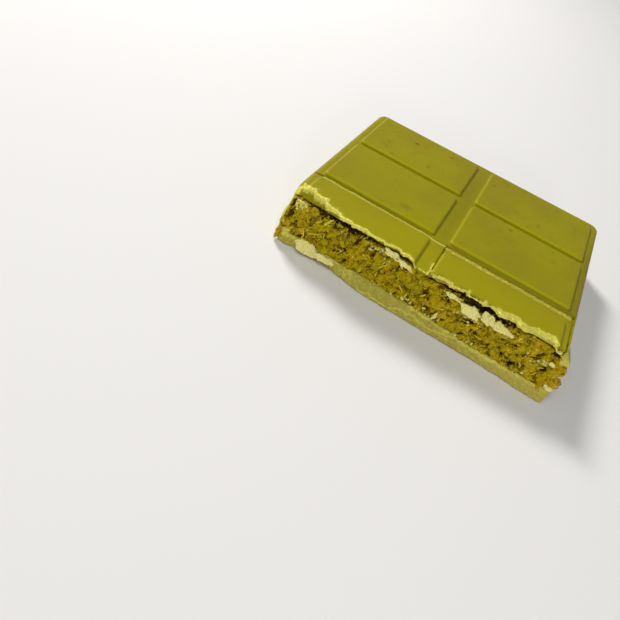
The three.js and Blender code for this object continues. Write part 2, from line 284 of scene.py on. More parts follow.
def right_lean(y, z):
    """How far the right wall is pushed out beside the break."""
    middle = step(1.5, 5.0, z) * step(13.8, 11.5, z)
    return step(-53, -62, y) * (0.8 * step(14.2, 12.5, z) + 1.0 * middle)


def narrow(x, y, z):
    """Takes a point of the drafted sides back to the upright ones."""
    grow = DRAFT * (TABLE_Z - z) / TABLE_Z
    u = x - right_lean(y, z) * step(20, 36, x)
    return u / (1 + grow / HALF_WIDTH), y - grow * step(-30, -3, y)


def bar_body(x, y, z):
    u, v = narrow(x, y, z)
    # Beside the break the left wall has lost its skin.
    u = u - 0.7 * step(-54, -61, y) * step(0, -20, x)
    flat = plan_rect(u, v, -HALF_WIDTH, HALF_WIDTH, -90, 0, CORNER, 0.5)
    top = rounded(flat, z - TABLE_Z, TOP_ROUND)
    base = rounded(flat, -z, BASE_ROUND)
    return np.maximum(top, base)


def row_edge(row):
    """Far edge of a row of pads, counted from the unbroken end."""
    return -BORDER - row * ROW_PITCH


def pad_outline(x, y, x0, row):
    """Distance in plan to the top of a pad."""
    y1 = row_edge(row)
    return plan_rect(x, y, x0, x0 + PAD_WIDTH, y1 - PAD_LENGTH, y1, PAD_CORNER, PAD_CORNER)


def pad(x, y, z, x0, row):
    """A raised square with sloped sides."""
    spread = PAD_SLOPE * np.clip((THICKNESS - z) / PAD_HEIGHT, 0, 1.5)
    return rounded(pad_outline(x, y, x0, row) - spread, z - THICKNESS, PAD_ROUND)


def slab_level(y):
    """Height of the loose piece's table at y."""
    return TABLE_Z - SLAB_DROP + (y - SLAB_BACK - SLAB_SLIDE) * math.tan(-SLAB_TILT)


def slab(x, y, z):
    """Loose piece of the top plate: its table with one pad, tipped and slid."""
    dy = y - (SLAB_BACK + SLAB_SLIDE)
    dz = z - (TABLE_Z - SLAB_DROP)
    v = SLAB_BACK + dy * math.cos(SLAB_TILT) + dz * math.sin(SLAB_TILT)
    w = TABLE_Z - dy * math.sin(SLAB_TILT) + dz * math.cos(SLAB_TILT)
    flat = plan_rect(x, v, SLAB_LEFT, SLAB_RIGHT, -90, SLAB_BACK, 0.3, 0.3)
    flat = flat + 0.12 * noise(0.9 * x, 0.9 * v, 2, SEED + 6)
    table = rounded(flat, w - TABLE_Z, 0.35)
    piece = union(table, pad(x, v, w, COLUMNS[1], SLAB_ROW), 0.3)
    return np.maximum(piece, ROOF_Z - 0.8 - z)


def cavity(x, y, z, inset):
    """The space inside the shell, open at the break."""
    u, v = narrow(x, y, z)
    x0 = -HALF_WIDTH + WALL_LEFT + inset
    x1 = HALF_WIDTH - WALL_RIGHT - inset
    flat = plan_rect(u, v, x0, x1, -95, -WALL_FAR - inset, CORNER, 0.5)
    level = np.maximum(FLOOR_Z + inset - z, z - ROOF_Z + inset)
    return np.maximum(flat, level)


def box(x, y, z, low, high):
    parts = [np.maximum(a - c, c - b) for c, a, b in zip((x, y, z), low, high)]
    return np.maximum(np.maximum(parts[0], parts[1]), parts[2])


def ellipsoid(x, y, z, centre, radii, rough, scale):
    """A rounded lump, rough by a share of its size."""
    d = [(c - m) / r for c, m, r in zip((x, y, z), centre, radii)]
    size = np.sqrt(d[0] ** 2 + d[1] ** 2 + d[2] ** 2)
    swell = rough * noise(scale * x, scale * y, scale * z, SEED + 4)
    return (size - 1 - swell) * min(radii)


def left_chip(x, y, z):
    return ellipsoid(x, y, z, (-43.3, -64.3, 0.2), (5.5, 4.6, 8.2), 0.08, 1.1)


def right_chip(x, y, z):
    return ellipsoid(x, y, z, (42.0, -63.5, 7.4), (5.2, 5.6, 4.2), 0.07, 1.1)


class Field:
    """A distance field on a grid, and beside it how pale the chocolate is there."""

    def __init__(self, xs, ys, zs, rule):
        self.lines = (xs, ys, zs)
        self.values = rule(xs[:, None, None], ys[None, :, None], zs[None, None, :])
        self.pale = np.zeros(self.values.shape)

    def add(self, low, high, rule, soft=0.0, pale=1.0):
        """Joins a form to the field, worked out only between two corners."""
        spans = []
        for lines, start, end in zip(self.lines, low, high):
            spans.append(slice(*np.searchsorted(lines, (start, end))))
        spans = tuple(spans)
        x, y, z = (lines[span] for lines, span in zip(self.lines, spans))
        if 0 in (len(x), len(y), len(z)):
            return
        form = rule(x[:, None, None], y[None, :, None], z[None, None, :])
        self.values[spans] = union(self.values[spans], form, soft)
        self.pale[spans] = np.maximum(self.pale[spans], pale * step(0.3, 0.05, form))

    def sample(self, values, points):
        """Values of a grid at points between its lines."""
        low, part = [], []
        for lines, place in zip(self.lines, points.T):
            cell = np.clip(np.searchsorted(lines, place) - 1, 0, len(lines) - 2)
            low.append(cell)
            part.append(np.clip((place - lines[cell]) / (lines[cell + 1] - lines[cell]), 0, 1))
        total = 0.0
        for a, b, c in CORNERS:
            weight = 1.0
            for n, side in enumerate((a, b, c)):
                weight = weight * (part[n] if side else 1 - part[n])
            total = total + weight * values[low[0] + a, low[1] + b, low[2] + c]
        return total

    def surface(self):
        return surface(self.values, *self.lines)


def surface(field, xs, ys, zs):
    """Vertices and quads on the zero level of a field on a grid, one vertex in each cell."""
    inside = field < 0
    shape = tuple(n - 1 for n in field.shape)
    window = (slice(0, -1), slice(1, None))
    any_in = np.zeros(shape, bool)
    all_in = np.ones(shape, bool)
    for a, b, c in CORNERS:
        corner = inside[window[a], window[b], window[c]]
        any_in |= corner
        all_in &= corner
    cells = np.argwhere(any_in & ~all_in)
    number = np.full(shape, -1, np.int64)
    number[tuple(cells.T)] = np.arange(len(cells))
    return cell_points(field, cells, (xs, ys, zs)), cell_quads(inside, number)


def cell_points(field, cells, lines):
    """For each cell, the mean of the points where its edges cross the zero level."""
    total = np.zeros((len(cells), 3))
    count = np.zeros(len(cells))
    for axis in range(3):
        others = [n for n in range(3) if n != axis]
        for a, b in itertools.product((0, 1), repeat=2):
            first = cells.copy()
            first[:, others[0]] += a
            first[:, others[1]] += b
            second = first.copy()
            second[:, axis] += 1
            f0 = field[tuple(first.T)]
            f1 = field[tuple(second.T)]
            crossed = (f0 < 0) != (f1 < 0)
            t = np.where(crossed, f0 / np.where(crossed, f0 - f1, 1.0), 0.0)
            point = np.stack([lines[n][first[:, n]] for n in range(3)], 1)
            point[:, axis] += t * (lines[axis][second[:, axis]] - lines[axis][first[:, axis]])
            total += np.where(crossed[:, None], point, 0.0)
            count += crossed
    return total / count[:, None]


def cell_quads(inside, number):
    """A quad across each grid edge that enters or leaves the form, between its four cells."""
    quads = []
    for axis in range(3):
        b, c = (axis + 1) % 3, (axis + 2) % 3
        low = [slice(None)] * 3
        high = [slice(None)] * 3
        low[axis], high[axis] = slice(0, -1), slice(1, None)
        for n in (b, c):
            low[n] = high[n] = slice(1, -1)
        start, end = inside[tuple(low)], inside[tuple(high)]
        for entering in (True, False):
            edges = np.argwhere((start != end) & (start == entering))
            edges[:, b] += 1
            edges[:, c] += 1
            ring = []
            for db, dc in ((-1, -1), (0, -1), (0, 0), (-1, 0)):
                cell = edges.copy()
                cell[:, b] += db
                cell[:, c] += dc
                ring.append(number[tuple(cell.T)])
            ring = np.stack(ring, 1)
            quads.append(ring if entering else ring[:, ::-1])
    return np.concatenate(quads)


# Meshes ------------------------------------
def to_frame(points):
    """From the bar's frame in millimetres to the model's frame in metres."""
    return (points + np.array([0, CENTRE_SHIFT, 0])) / 1000


def make_object(name, points, faces, masks=None):
    """A smooth-shaded mesh, with one number at each vertex for each mask."""
    mesh = bpy.data.meshes.new(name)
    corners = faces.shape[1]
    mesh.vertices.add(len(points))
    mesh.vertices.foreach_set("co", to_frame(points).ravel())
    mesh.loops.add(faces.size)
    mesh.loops.foreach_set("vertex_index", faces.ravel())
    mesh.polygons.add(len(faces))
    mesh.polygons.foreach_set("loop_start", np.arange(0, faces.size, corners))
    mesh.polygons.foreach_set("loop_total", np.full(len(faces), corners))
    mesh.polygons.foreach_set("use_smooth", np.full(len(faces), True))
    mesh.update(calc_edges=True)
    mesh.validate()
    for key, values in (masks or {}).items():
        attribute = mesh.attributes.new(key, "FLOAT", "POINT")
        attribute.data.foreach_set("value", np.asarray(values, np.float32))
    made = bpy.data.objects.new(name, mesh)
    bpy.context.scene.collection.objects.link(made)
    return made


def thin_out(made, most):
    """Spends fewer triangles where the surface is flat."""
    triangles = sum(len(face.vertices) - 2 for face in made.data.polygons)
    print(made.name, triangles, "triangles before thinning")
    if triangles <= most:
        return
    modifier = made.modifiers.new("thin", "DECIMATE")
    modifier.ratio = most / triangles
    bpy.context.view_layer.objects.active = made
    made.select_set(True)
    bpy.ops.object.modifier_apply(modifier=modifier.name)
    made.select_set(False)


# Shell -------------------------------------
def shell_grid():
    xs = grid_lines([(-42.4, 0.5), (-39.4, 0.24), (42.6, 1)])
    ys = grid_lines([
        (-67, 0.22), (-56.0, 0.4), (-52.8, 0.2), (-46.6, 0.9), (-27.2, 0.2), (-22.8, 0.9),
        (-4, 0.24), (-0.5, 0.3), (2.4, 1),
    ])
    zs = grid_lines([(-0.6, 0.25), (3.6, 0.5), (12.0, 0.22), (14.2, 0.18), (16.8, 1)])
    return xs, ys, zs


def shell_rule(x, y, z):
    field = bar_body(x, y, z)
    for row in range(ROWS):
        field = union(field, pad(x, y, z, COLUMNS[0], row), 0.2)
        if row != SLAB_ROW:
            field = union(field, pad(x, y, z, COLUMNS[1], row), 0.2)
    low = (SLAB_LEFT - 0.3, -90, CRACK_FLOOR_Z)
    high = (SLAB_RIGHT + 0.3, CRACK_Y + 0.1, 20)
    seat = box(x, y, z, low, high) + 0.15 * noise(0.8 * x, 0.8 * y, 5, SEED + 6)
    field = cut(field, seat, 0.1)
    crack = np.maximum(np.abs(y - crack_course(x)) - CRACK_WIDTH / 2, CRACK_FLOOR_Z - z)
    field = cut(field, np.maximum(crack, x - SLAB_LEFT), 0.1)
    field = union(field, slab(x, y, z), 0.05)
    field = cut(field, cavity(x, y, z, 0), 0.2)
    front = 0.8 * (shell_break(x, z) - y)
    coarse = (0.08 + 0.08 * step(13.4, 12.6, z)) * noise(1.9 * x, 1.9 * y, 1.9 * z, SEED + 9)
    fine = 0.06 * noise(3.7 * x, 3.7 * y, 3.7 * z, SEED + 10)
    field = np.maximum(field, front + coarse + fine)
    field = cut(field, box(x, y, z, (35.0, -70, 12.0), (SLAB_RIGHT + 0.3, -58.6, 13.3)))
    field = cut(field, box(x, y, z, (SLAB_RIGHT, -70, 12.0), (SLAB_RIGHT + 0.3, -58.0, 16)))
    field = cut(field, left_chip(x, y, z))
    return cut(field, right_chip(x, y, z))


def crack_course(x):
    """The crack's y: straight along the pads, jumping back across the spine."""
    wander = 0.2 * noise(0.45 * x, 1, 0, SEED + 5) + 0.1 * noise(1.7 * x, 2, 0, SEED + 5)
    return CRACK_Y - 0.7 * step(-5, -1, x) + wander


def rim_height(x, y):
    """Top surface just behind the broken rim."""
    left_pad = step(-36.3, -35.9, x) * step(-2.3, -2.7, x)
    right_pad = step(2.4, 2.8, x) * step(36.3, 35.9, x)
    table = np.where(x > SLAB_LEFT, slab_level(y), TABLE_Z)
    return table + PAD_HEIGHT * (left_pad + right_pad)


def rim_size(x):
    """Radius of the pale ridge along the rim: thick at both ends, thin beside the spine."""
    left = 0.36 + 0.24 * step(-25, -30, x) - 0.14 * step(-17, -12, x) + 0.2 * bump(x, -4.4, 1.4)
    # Right of the spine it is a thin line with a knot where each scallop ends.
    place = (x - SCALLOP_START) / SCALLOP_PITCH
    knot = 0.3 * bump(place - np.round(place), -0.07, 0.07) * step(21, 18, x)
    right = 0.22 + knot + 0.30 * step(18.5, 21, x) - 0.2 * step(35.4, 36.4, x)
    return np.where(x < 0, left, right) * (1 - 0.5 * bump(x, 0, 2.2))


def rim_ridge(x, y, z):
    """The burr of pale chocolate that runs along the rim of the top plate."""
    uneven = 0.25 * noise(1.3 * x, 0, 0, SEED + 15) + 0.25 * noise(3.1 * x, 0, 0, SEED + 16)
    radius = rim_size(x) * (1 + uneven * (1 - 0.6 * step(18, 21, x)))
    middle_y = rim_line(x) + 0.1 * radius
    middle_z = rim_height(x, middle_y) - (0.7 + 0.25 * step(18, 21, x)) * radius
    rough = 0.14 * noise(2.6 * x, 2.6 * y, 2.6 * z, SEED + 17)
    return np.hypot(y - middle_y, 0.75 * (z - middle_z)) - radius + rough * step(22, 18, x)


def bead(field, rng, centre, radius, soft, pale=1.0):
    """One rough blob of pale chocolate."""
    radii = radius * rng.uniform(0.75, 1.3, 3)
    low = [c - 2.2 * radius for c in centre]
    high = [c + 2.2 * radius for c in centre]
    field.add(low, high, lambda x, y, z: ellipsoid(x, y, z, centre, radii, 0.3, 1.7), soft, pale)


def add_rim(field, rng):
    field.add((-36.9, -66, 13.4), (37.9, -55, 17), rim_ridge, 0.12)
    for x in rng.uniform(-36.6, 35.4, 230):
        size = float(rim_size(x))
        y = float(rim_line(x)) + rng.normal(0, 0.6) * size
        z = float(rim_height(x, y)) - rng.uniform(0, 0.4) * size
        bead(field, rng, (x, y, z), 0.55 * size * rng.uniform(0.7, 1.2), 0.05)
    # A block of crumbs stands on the left border.
    for _ in range(34):
        x = rng.uniform(-37.2, -35.3)
        y = rng.uniform(-58.6, -56.6)
        z = TABLE_Z + rng.uniform(-0.1, 0.7)
        bead(field, rng, (x, y, z), rng.uniform(0.25, 0.5), 0.08)


def add_crack_edges(field, rng):
    def lip(x, y, z):
        middle = crack_course(x) - CRACK_WIDTH / 2 - 0.2
        rough = 0.07 * noise(2.4 * x, 2.4 * y, 2.4 * z, SEED + 18)
        return np.hypot(y - middle, z - TABLE_Z + 0.02) - 0.2 + rough

    def spine_lip(x, y, z):
        middle = 1.8 + 0.25 * noise(0, 0.8 * y, 3, SEED)
        return np.hypot(x - middle, z - TABLE_Z + 0.02) - 0.13

    def bed(x, y, z):
        stipple = 0.13 * noise(3.3 * x, 3.3 * y, 0, SEED + 19)
        return z - (TABLE_Z - 0.5) + stipple

    field.add((-35.8, -50.6, 14.4), (SLAB_LEFT, -47.2, 15.8), lip, 0.06, 0.6)
    field.add((1.2, -63, 14.6), (2.3, -57.8, 15.6), spine_lip, 0.05, 0.8)
    field.add((SLAB_LEFT, -50.2, 14.0), (37.9, -48.2, 14.9), bed, 0.05, 0.12)
    for x in np.arange(SLAB_LEFT, 37.6, 0.2):
        y = CRACK_Y - rng.uniform(0.5, 1.3)
        size = rng.uniform(0.12, 0.24)
        bead(field, rng, (x, y, TABLE_Z - 0.55), size, 0.05, rng.uniform(0.2, 0.5))


def add_bottom_edge(field, rng):
    for x in np.append(np.arange(-37.4, -20, 0.3), np.arange(2, 41.0, 0.24)):
        y = float(bottom_plate(x, FLOOR_Z - 0.15)) + rng.uniform(-0.1, 0.35)
        z = FLOOR_Z - 0.3 + rng.uniform(-0.3, 0.2)
        bead(field, rng, (x, y, z), rng.uniform(0.15, 0.34), 0.12, rng.uniform(0.4, 0.9))
    # A block of crumbs is left at its left end, on the stump of the wall.
    for _ in range(40):
        x = rng.normal(-36.6, 0.5)
        y = rng.uniform(-63.2, -62.2)
        z = FLOOR_Z + rng.uniform(-0.6, 1.5)
        bead(field, rng, (x, y, z), rng.uniform(0.22, 0.42), 0.05, rng.uniform(0.5, 1.0))


def pale_places(x, y, z, broken):
    """Pale chocolate that isn't a form of its own: ripples, frost, the smeared rim, thin walls."""
    wander = 0.45 * noise(0.45 * x, 0, 0, SEED + 23) + 0.12 * noise(1.6 * x, 3, 0, SEED + 23)
    ripple = bump(z, ledge_line(x) + wander, 0.11) + bump(z, ledge_line(x) - 0.5 - wander, 0.09)
    ripple = ripple * broken * step(-14, -10, x) * step(19, 15, x)
    stipple = step(0.0, 0.4, noise(2.4 * x, 2.4 * y, 2.4 * z, SEED + 24)) * step(3.6, 3.2, z)
    stipple = stipple * broken * bump(x, -16.5, 3.0)
    smear = step(1.3, 1.0, rim_height(x, y) - z) * step(0.5, 0.2, y - rim_line(x))
    smear = smear * step(19, 21, x) * step(36.5, 36, x)
    left_wall = broken * step(-36.9, -37.6, x) * step(5, 8, z)
    right_wall = broken * step(36.2, 36.8, x) * step(9.8, 10.6, z) * step(13.8, 13.3, z)
    pale = np.maximum(0.8 * ripple, 0.5 * stipple)
    pale = np.maximum(pale, np.maximum(0.9 * smear, left_wall))
    return np.maximum(pale, 0.5 * right_wall)


def painted_edge_highlights(x, y, z):
    """The rounded top edges of the pads, where a painted highlight makes the chocolate brighter.
    """
    found = np.zeros(x.shape)
    for row, x0 in itertools.product(range(ROWS), COLUMNS):
        loose = row == SLAB_ROW and x0 > 0
        v = y - SLAB_SLIDE if loose else y
        top = rim_height(x, y) if loose else THICKNESS
        # The painted highlight is strongest on the edge nearest the break.
        bright = 0.35 + 0.65 * step(1.2, 0.6, v - row_edge(row) + PAD_LENGTH)
        edge = bump(pad_outline(x, v, x0, row), 0.05, 0.35) * step(0.75, 0.45, top - z)
        found = np.maximum(found, bright * edge)
    return found


def make_shell():
    rng = np.random.default_rng(SEED)
    field = Field(*shell_grid(), shell_rule)
    add_rim(field, rng)
    add_crack_edges(field, rng)
    add_bottom_edge(field, rng)
    points, quads = field.surface()
    points[:, 2] = np.maximum(points[:, 2], 0)
    x, y, z = points.T
    broken = step(0.9, 0.25, y - shell_break(x, z))
    lowest_smooth = 13.4 + 0.3 * step(2, 5, x) + 0.5 * step(11, 13, x)
    snapped = broken * step(lowest_smooth + 0.6, lowest_smooth, z)
    chips = np.minimum(np.abs(left_chip(x, y, z)), np.abs(right_chip(x, y, z)))
    snapped = np.maximum(snapped, step(0.3, 0.1, chips))
    pale = np.maximum(field.sample(field.pale, points), pale_places(x, y, z, broken))
    # The edge mask carries the painted highlight along the pads' top edges.
    masks = {"snapped": snapped, "pale": pale, "edge": painted_edge_highlights(x, y, z)}
    made = make_object("bar_shell", points, quads, masks)
    thin_out(made, SHELL_TRIANGLES)
    return made


# Filling -----------------------------------
def filling_grid():
    xs = grid_lines([(-41.5, 0.19), (43.5, 1)])
    ys = grid_lines([(-67, 0.19), (-58, 3), (0, 1)])
    zs = grid_lines([(0.4, 0.19), (14.0, 1)])
    return xs, ys, zs


def clumps(x, y, z):
    """Relief of the shredded filling: shreds that lean one way, in lumps with cracks between."""
    bent = 0.5 * noise(0.5 * x, 0.5 * y, 0.5 * z, SEED + 12)
    u = 0.75 * x - 0.55 * z + bent
    w = 0.40 * x + 0.55 * z - bent
    large = lumps(u, 0.8 * y, w, 1.6, SEED + 20)
    small = lumps(u, y, 1.2 * w, 0.75, SEED + 30)
    return 1.8 * (large - 0.35) + 0.65 * (small - 0.35)


def filling_rule(x, y, z):
    field = cavity(x, y, z, 0.05)
    for centre, radii in [
        ((-37.4, -62.2, 4.2), (1.4, 1.4, 1.6)),
        ((-38.2, -62.6, 2.6), (1.2, 1.2, 1.4)),
        ((-38.4, -62.8, 1.0), (1.0, 0.9, 0.9)),
        ((40.0, -61.6, 8.8), (2.0, 2.0, 2.2)),
        ((40.4, -62.4, 5.4), (2.1, 1.9, 2.0)),
        ((38.2, -62.2, 7.0), (2.6, 2.0, 3.2)),
    ]:
        field = union(field, ellipsoid(x, y, z, centre, radii, 0.25, 1.2), 0.5)
    for centre, radii in [
        ((18.5, -62.2, 13.6), (9.5, 4.4, 1.9)),
        ((-22.5, -61.0, 14.2), (12.0, 4.6, 1.9)),
        ((6.0, -62.0, 14.0), (7.0, 3.0, 0.9)),
        ((-37.1, -61.6, 10.2), (0.9, 2.4, 3.4)),
        ((37.9, -62.2, 12.6), (2.0, 2.2, 1.0)),
    ]:
        field = cut(field, ellipsoid(x, y, z, centre, radii, 0.25, 1.3), 0.2)
    front = 0.7 * (filling_break(x, z) - step(37, 39, np.abs(x)) - y)
    near = y[0, :, 0] < -58
    relief = np.zeros(np.broadcast_shapes(x.shape, y.shape, z.shape))
    relief[:, near] = clumps(x, y[:, near], z)
    # At its ends it shows past the broken walls, except high on the left.
    ends = step(36.5, 38.5, np.abs(x)) * np.where(x < 0, step(5.5, 4.0, z), 1.0)
    return np.maximum(field + 0.45 * ends * relief, front + relief)


def make_core():
    field = Field(*filling_grid(), filling_rule)
    points, quads = field.surface()
    points[:, 2] = np.maximum(points[:, 2], 0.1)
    x, y, z = points.T
    # Painted shade: depth tells how deep a point lies in the filling's crevices, where it is
    # painted darker.
    depth = step(-0.2, 0.9, y - filling_break(x, z))
    ends = step(37.5, 39.5, np.abs(x))
    made = make_object("filling_core", points, quads, {"depth": depth, "ends": ends})
    thin_out(made, CORE_TRIANGLES)
    return made


def tubes(centres, along, bends, lengths, radii, tones, rings=7, sides=6):
    """Short bent strands as one mesh of closed tubes."""
    count = len(centres)
    t = np.linspace(-0.5, 0.5, rings)
    along = along / np.linalg.norm(along, axis=1, keepdims=True)
    path = centres[:, None] + along[:, None] * (lengths[:, None] * t)[..., None]
    path = path + bends[:, None] * (1 - 4 * t ** 2)[None, :, None]
    helper = np.where(np.abs(along[:, 2:3]) < 0.8, [[0, 0, 1.0]], [[0, 1.0, 0]])
    across = np.cross(along, helper)
    across /= np.linalg.norm(across, axis=1, keepdims=True)
    up = np.cross(across, along)
    angle = np.linspace(0, 2 * np.pi, sides, endpoint=False)[None, :, None]
    ring = across[:, None] * np.cos(angle) + 0.72 * up[:, None] * np.sin(angle)
    taper = np.sqrt(np.clip(1 - (2.04 * t) ** 6, 0.02, 1))
    size = radii[:, None] * taper[None, :]
    points = path[:, :, None] + ring[:, None] * size[..., None, None]
    points = points.reshape(count, rings * sides, 3)
    faces = []
    for r in range(rings - 1):
        for s in range(sides):
            a, b = r * sides + s, r * sides + (s + 1) % sides
            faces.append((a, b, b + sides))
            faces.append((a, b + sides, a + sides))
    last = (rings - 1) * sides
    for s in range(1, sides - 1):
        faces.append((0, s + 1, s))
        faces.append((last, last + s, last + s + 1))
    faces = np.array(faces)[None] + (np.arange(count) * rings * sides)[:, None, None]
    tone = np.repeat(tones, rings * sides)
    return points.reshape(-1, 3), faces.reshape(-1, 3), tone


def make_strands():
    rng = np.random.default_rng(SEED + 1)
    short, long = 900, 16
    count = short + long
    x = np.append(rng.uniform(-36.6, 39.5, short), rng.uniform(-34, -25, long))
    z = np.append(rng.uniform(FLOOR_Z + 0.3, ROOF_Z - 0.5, short), rng.uniform(6.5, 11.0, long))
    y = filling_break(x, z) + rng.normal(-0.05, 0.3, count)
    slope = np.append(rng.normal(1.2, 0.6, short), rng.normal(0.8, 0.2, long))
    along = np.stack([np.cos(slope), rng.normal(0, 0.3, count), np.sin(slope)], 1)
    bends = rng.normal(0, 0.3, (count, 3))
    lengths = np.append(rng.uniform(0.4, 2.0, short), rng.uniform(3.5, 6.0, long))
    lengths = lengths * step(0, 2.0, ROOF_Z - 0.3 - z) + 0.6
    radii = np.append(rng.uniform(0.14, 0.30, short), rng.uniform(0.34, 0.5, long))
    centres = np.stack([x, y, z], 1)
    points, faces, tone = tubes(centres, along, bends, lengths, radii, rng.random(count))
    points[:, 2] = np.clip(points[:, 2], FLOOR_Z + 0.02, ROOF_Z - 0.1)
    return make_object("filling_strands", points, faces, {"tone": tone})


# Flakes and crumbs -------------------------
def flake_rule(centre, size, lean, turn, taper, seed):
    """A thin chip of chocolate with straight broken sides, tilted as it lies."""
    rotation = Matrix.Rotation(turn, 3, "Y") @ Matrix.Rotation(lean, 3, "X")
    across, along, out = (Vector(rotation.col[n]) for n in range(3))
    rng = np.random.default_rng(SEED + 40 + seed)
    sides = []
    for angle in np.linspace(0, 2 * math.pi, 7, endpoint=False):
        sides.append((angle + rng.uniform(-0.4, 0.4), rng.uniform(0.7, 1.0)))

    def rule(x, y, z):
        d = [x - centre[0], y - centre[1], z - centre[2]]
        u, v, w = (a[0] * d[0] + a[1] * d[1] + a[2] * d[2] for a in (across, along, out))
        a = 2 * u / size[0]
        b = 2 * v / size[1] / np.maximum(1 - taper * a, 0.2)
        flat = np.full(np.broadcast_shapes(a.shape, b.shape), -1.0)
        for angle, reach in sides:
            flat = np.maximum(flat, a * math.cos(angle) + b * math.sin(angle) - reach)
        flat = flat * min(size[0], size[1]) / 2
        # Its sides break in small steps, and its face is hatched with fine ridges.
        jag = np.round(2.5 * noise(1.1 * u, 1.1 * v, seed, SEED + 7)) / 2.5
        flat = flat + 0.18 * jag + 0.1 * noise(2.6 * u, 2.6 * v, seed + 5, SEED + 8)
        hatch = 0.11 * np.sin(8 * (u + 0.4 * v) + 4 * noise(0.8 * u, 0.8 * v, seed, SEED + 9))
        uneven = 0.22 * noise(1.3 * u, 1.3 * v, seed + 2, SEED + 9)
        return rounded(flat, np.abs(w + hatch + uneven) - size[2] / 2, 0.1)

    return rule


def make_flakes():
    rng = np.random.default_rng(SEED + 3)
    steep = math.pi / 2
    flakes = [
        # centre, size, lean, turn, taper to the right
        ((15.1, -62.9, 11.7), (6.2, 3.1, 0.7), steep - 0.5, 0.15, -0.3),
        ((23.9, -62.7, 11.6), (6.6, 2.4, 0.8), steep - 0.4, 0.12, 0.3),
        ((19.6, -62.7, 12.3), (3.8, 3.2, 0.7), steep - 0.4, 0.05, 0.2),
        ((-8.0, -61.4, 13.6), (5.6, 1.7, 0.6), steep - 0.7, 0.3, 0.1),
        ((-3.9, -61.6, 12.9), (4.8, 1.6, 0.6), steep - 0.6, 0.25, 0.2),
        ((9.9, -62.6, 12.7), (4.4, 1.2, 0.6), steep - 0.4, 0.15, 0.3),
        ((8.7, -64.0, 5.7), (0.9, 3.0, 0.6), steep, 0.15, 0.0),
        ((37.9, -63.2, 10.3), (2.4, 1.2, 0.6), steep - 0.2, 0.5, 0.2),
        ((41.0, -64.0, 4.0), (2.6, 1.9, 0.8), steep - 0.2, 0.2, 0.0),
        ((-29.2, -63.2, 2.3), (8.2, 3.9, 0.9), steep - 0.25, 0.22, 0.45),
        ((-23.2, -63.2, 2.3), (6.6, 1.9, 0.8), steep - 0.25, 0.12, 0.5),
    ]
    all_points, all_faces, offset = [], [], 0
    for number, (centre, size, lean, turn, taper) in enumerate(flakes):
        reach = (0.6 * size[0] + 0.7, 2.0, 0.6 * size[1] + 0.9)
        lines = [np.arange(c - r, c + r, FLAKE_SPACING) for c, r in zip(centre, reach)]
        rule = flake_rule(centre, size, lean, turn, taper, 3 * number)
        field = Field(*lines, rule)
        # Smaller chips lie on it at other angles.
        for part in range(3):
            spread = (size[0], 0.8, size[1])
            place = [c + rng.uniform(-0.28, 0.28) * s for c, s in zip(centre, spread)]
            chip = [s * rng.uniform(0.35, 0.6) for s in size[:2]] + [size[2]]
            tilt = (lean + rng.normal(0, 0.35), turn + rng.normal(0, 0.4))
            rule = flake_rule(place, chip, *tilt, 0.3, 50 + 3 * number + part)
            field.values = union(field.values, rule(*np.ix_(*lines)))
        points, quads = field.surface()
        all_points.append(points)
        all_faces.append(quads + offset)
        offset += len(points)
    return make_object("pale_flakes", np.concatenate(all_points), np.concatenate(all_faces))


def crumb_mesh(centres, sizes, tones):
    """Rough little lumps as one mesh."""
    form = bmesh.new()
    bmesh.ops.create_icosphere(form, subdivisions=2, radius=1)
    base = np.array([v.co[:] for v in form.verts])
    tris = np.array([[v.index for v in f.verts] for f in form.faces])
    form.free()
    count = len(centres)
    place = base[None] * 1.4 + 7.3 * np.arange(count)[:, None, None]
    swell = 1 + 0.7 * noise(*np.moveaxis(place, -1, 0), SEED + 14)
    points = centres[:, None] + base[None] * swell[..., None] * sizes[:, None]
    faces = tris[None] + (np.arange(count) * len(base))[:, None, None]
    return points.reshape(-1, 3), faces.reshape(-1, 3), np.repeat(tones, len(base))


def make_crumbs():
    rng = np.random.default_rng(SEED + 2)
    clusters = [
        # x, z, spread in x, spread in z, count, tone: 0 orange, 0.4 golden, 1 cream
        (15.5, 9.8, 1.8, 0.7, 26, 1.0), (-11.5, 12.6, 1.8, 0.6, 26, 1.0),
        (-2.0, 4.2, 1.4, 0.4, 9, 0.9), (-34.9, 12.6, 0.8, 0.7, 90, 1.0),
        (4.5, 4.0, 2.5, 0.5, 8, 0.8), (31.0, 9.5, 3.5, 1.5, 6, 0.7),
        (-24.0, 8.0, 9.0, 3.5, 60, 0.4), (10.0, 7.5, 16.0, 3.5, 90, 0.4),
        (28.0, 6.5, 6.0, 3.0, 50, 0.5), (36.3, 9.5, 1.0, 0.8, 5, 1.0),
        (20.0, 3.6, 12.0, 0.4, 24, 0.9), (-38.3, 2.4, 0.5, 1.2, 14, 0.1),
        (40.5, 6.0, 0.8, 2.0, 14, 0.0),
    ]
    centres, sizes, tones = [], [], []
    for x, z, wide, tall, count, tone in clusters:
        for _ in range(count):
            at_end = abs(x) > 38
            across = 41.0 if at_end else 36.4
            lowest = 0.6 if at_end else FLOOR_Z + 0.3
            cx = np.clip(rng.normal(x, wide), -across, across)
            cz = np.clip(rng.normal(z, tall), lowest, ROOF_Z - 0.7)
            cy = float(filling_break(cx, cz)) - rng.uniform(0.1, 0.6)
            size = rng.uniform(0.14, 0.36)
            centres.append((cx, cy, cz))
            sizes.append(size * rng.uniform(0.5, 1.8, 3))
            tones.append(tone)
    points, faces, tone = crumb_mesh(np.array(centres), np.array(sizes), np.array(tones))
    return make_object("crumbs", points, faces, {"tone": tone})


